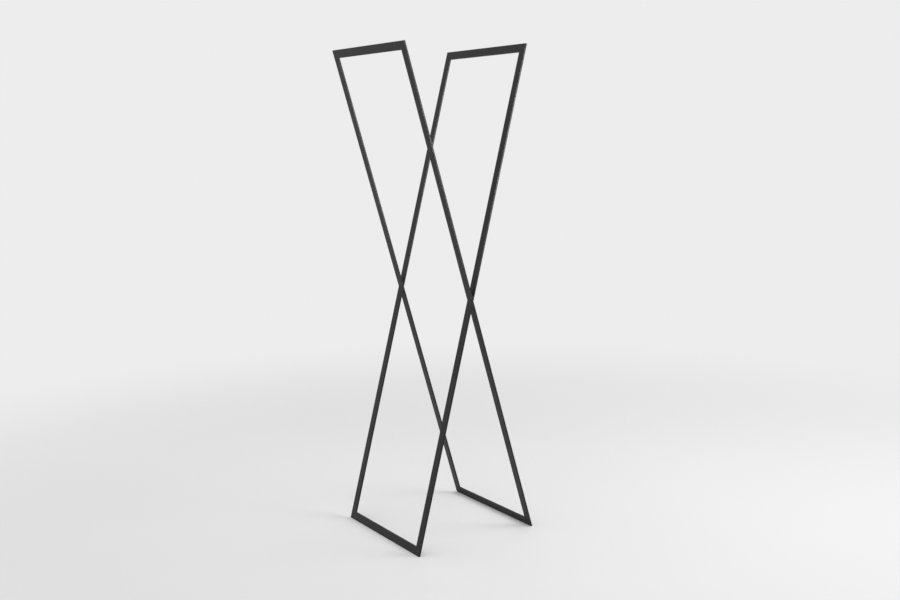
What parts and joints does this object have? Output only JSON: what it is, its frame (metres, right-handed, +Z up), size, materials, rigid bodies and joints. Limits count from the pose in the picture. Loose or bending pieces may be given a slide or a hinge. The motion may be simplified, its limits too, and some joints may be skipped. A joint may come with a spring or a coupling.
{
  "type": "coat stand",
  "caption": "Free-standing coat stand of black flat steel bar: tall rectangular frames cross as an X and are welded, so coats hang on the rails and corners at the top.",
  "frame": {"origin": "on the floor, midway between the foot rails and midway along them, under the crossing of the legs", "axes": "+Z up; Y along the rails, with the front at -Y; X across the spread of the legs, with the through frame's top at +X"},
  "size_m": [0.509, 0.5, 1.7799],
  "materials": {
    "bar_coat": "satin black powder coat on steel flat bar",
    "weld_coat": "satin black powder coat over weld beads"
  },
  "bodies": {
    "root": {"through_frame_top_rail": "bar_coat", "through_frame_foot_rail": "bar_coat", "through_frame_front_leg": "bar_coat", "through_frame_back_leg": "bar_coat", "split_frame_top_rail": "bar_coat", "split_frame_foot_rail": "bar_coat", "split_frame_front_upper_leg": "bar_coat", "split_frame_front_lower_leg": "bar_coat", "split_frame_back_upper_leg": "bar_coat", "split_frame_back_lower_leg": "bar_coat", "through_frame_top_front_weld": "weld_coat", "through_frame_top_back_weld": "weld_coat", "through_frame_foot_front_weld": "weld_coat", "through_frame_foot_back_weld": "weld_coat", "split_frame_top_front_weld": "weld_coat", "split_frame_top_back_weld": "weld_coat", "split_frame_foot_front_weld": "weld_coat", "split_frame_foot_back_weld": "weld_coat", "front_crossing_welds": "weld_coat", "back_crossing_welds": "weld_coat"}
  },
  "joints": []
}
